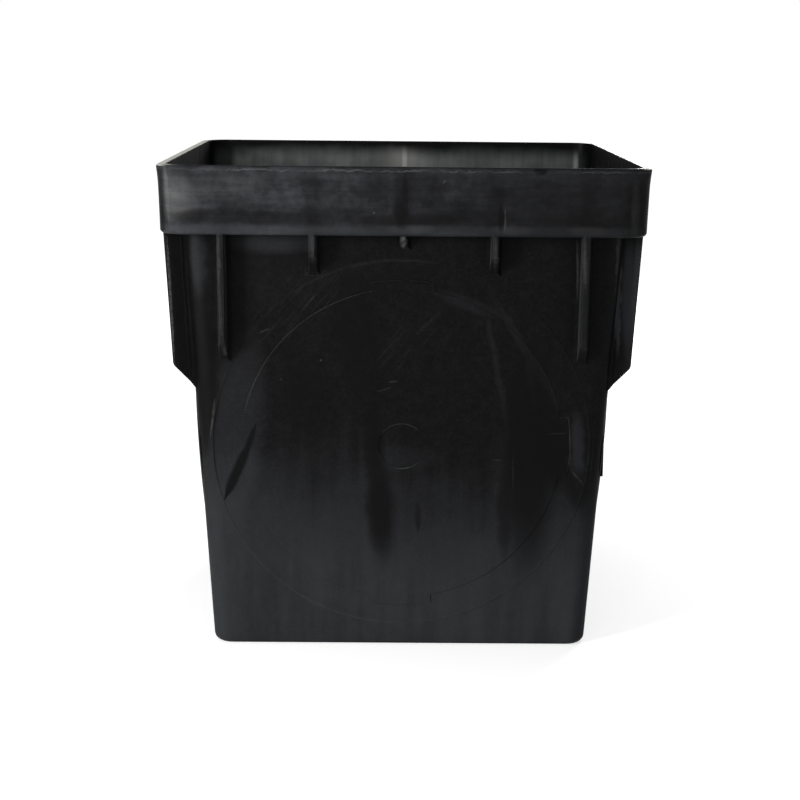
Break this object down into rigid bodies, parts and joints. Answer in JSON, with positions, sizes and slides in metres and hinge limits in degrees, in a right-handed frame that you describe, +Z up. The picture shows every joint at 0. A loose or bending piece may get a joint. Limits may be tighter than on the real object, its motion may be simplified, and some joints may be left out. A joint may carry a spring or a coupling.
{
  "type": "gully sump",
  "caption": "Square black plastic gully sump: a tapered chamber with a closed floor, cut-out rings for pipes on its walls, and a ribbed collar with a ledge for a grate.",
  "frame": {"origin": "middle of the underside of the floor", "axes": "+Z up through the open mouth, -Y towards the wall that faces the camera, +X towards the wall with the wedge lug"},
  "size_m": [0.3404, 0.3404, 0.35],
  "materials": {
    "black_plastic": "satin injection-moulded polypropylene, scuffed and dusty"
  },
  "bodies": {
    "root": {"sump_body": "black_plastic"}
  },
  "joints": []
}
